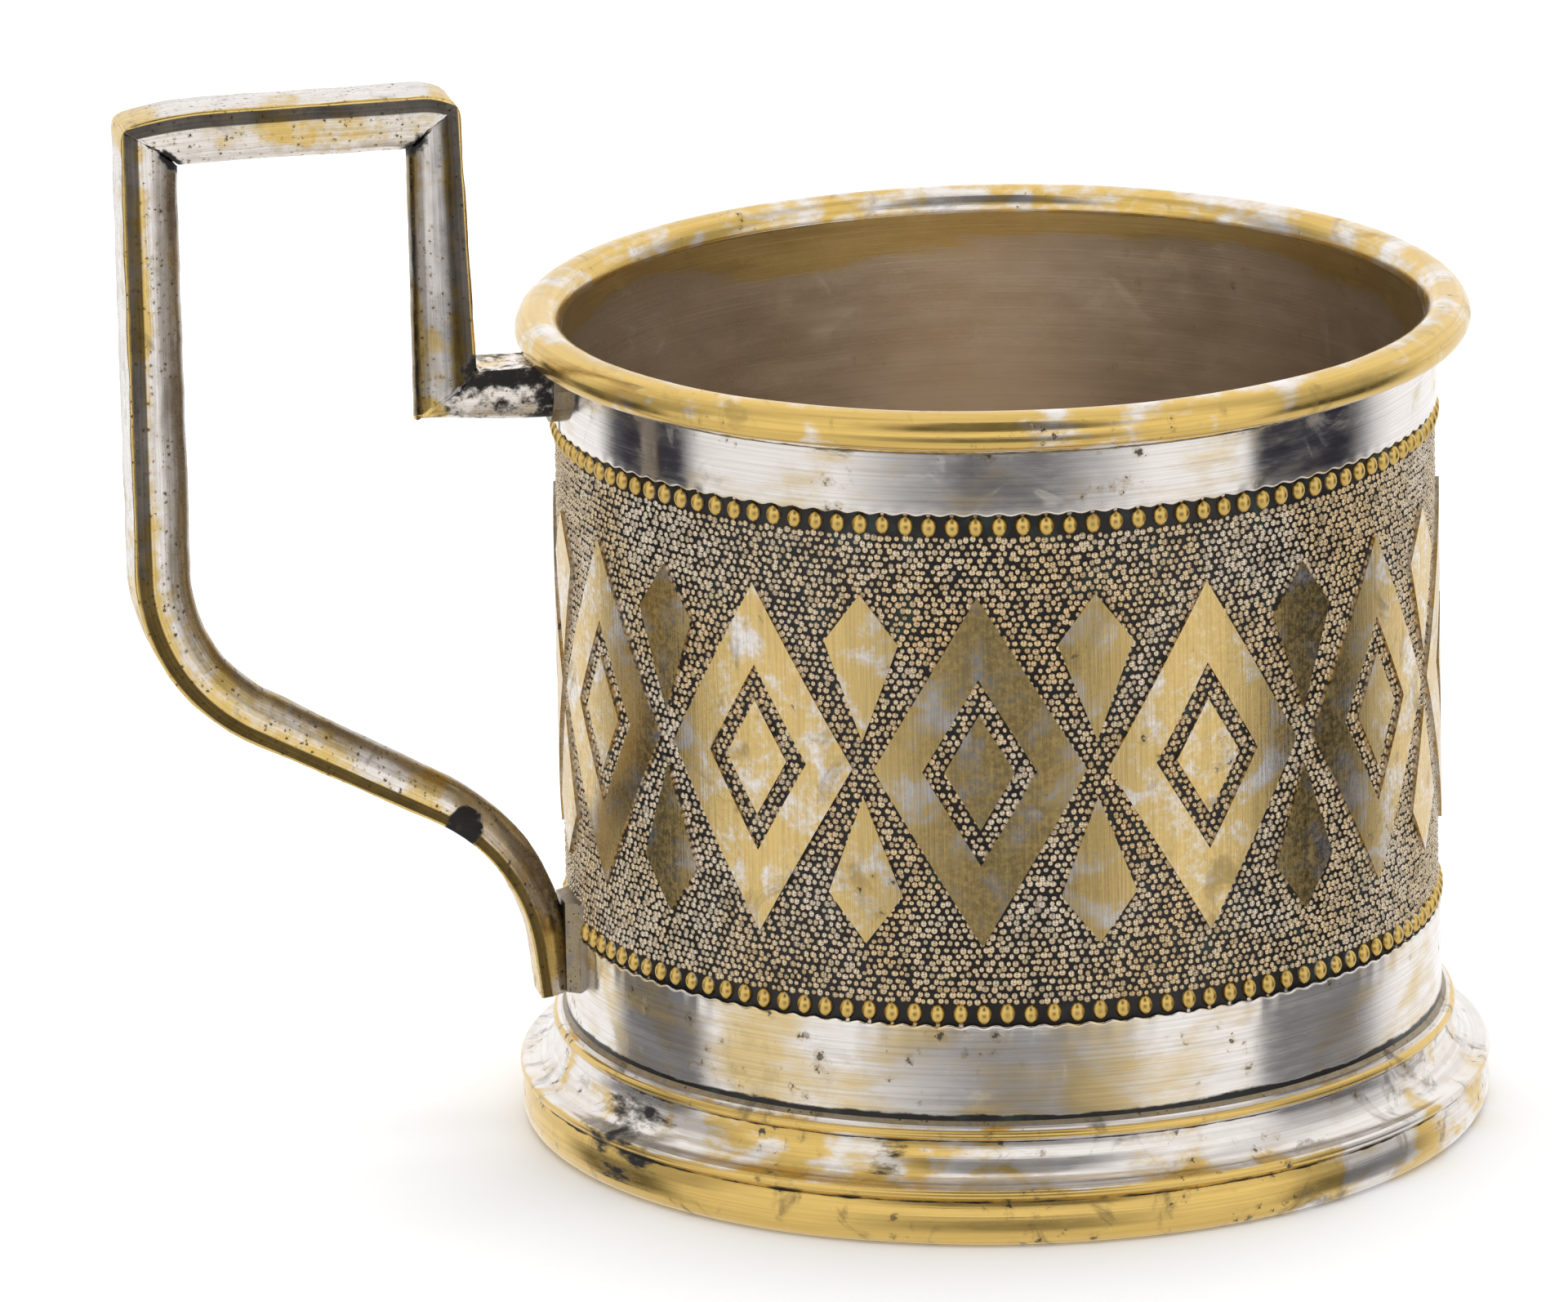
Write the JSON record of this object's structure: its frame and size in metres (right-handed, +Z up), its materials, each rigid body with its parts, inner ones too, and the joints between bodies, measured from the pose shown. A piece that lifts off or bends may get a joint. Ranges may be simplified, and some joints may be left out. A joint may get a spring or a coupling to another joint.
{
  "type": "tea glass holder",
  "caption": "Cylindrical metal holder for a tea glass, with a relief band, a rolled rim, a flared foot ring and an angular bar handle soldered to one side.",
  "frame": {"origin": "centre of the foot ring, on the plane it stands on", "axes": "+Z up along the sleeve's axis, handle towards -X"},
  "size_m": [0.1113, 0.0798, 0.0887],
  "materials": {
    "plated_sleeve": "brushed silver plate over brass, worn and patinated",
    "worn_rim": "brass showing through worn silver plate",
    "worn_foot": "brass showing through worn silver plate",
    "worn_handle": "pitted silver plate, worn to brass on the edges",
    "relief_brass": "satin brass with traces of silver plate",
    "bead_brass": "polished brass",
    "solder": "pitted solder",
    "dark_solder": "blackened solder"
  },
  "bodies": {
    "root": {"sleeve": "plated_sleeve", "seam_solder": "solder", "rim_ring": "worn_rim", "rim_solder": "solder", "foot_ring": "worn_foot", "foot_solder": "dark_solder", "glass_seat": "plated_sleeve", "seat_solder": "solder", "handle_grip": "worn_handle", "handle_top_bar": "worn_handle", "handle_upright": "worn_handle", "handle_stub": "worn_handle", "grip_corner_braze": "dark_solder", "top_corner_braze": "dark_solder", "stub_corner_braze": "dark_solder", "stub_solder": "solder", "tip_solder": "solder", "upper_bead_row": "bead_brass", "lower_bead_row": "bead_brass", "lozenge_frames": "relief_brass", "lozenge_centres": "relief_brass", "darts": "relief_brass"}
  },
  "joints": []
}
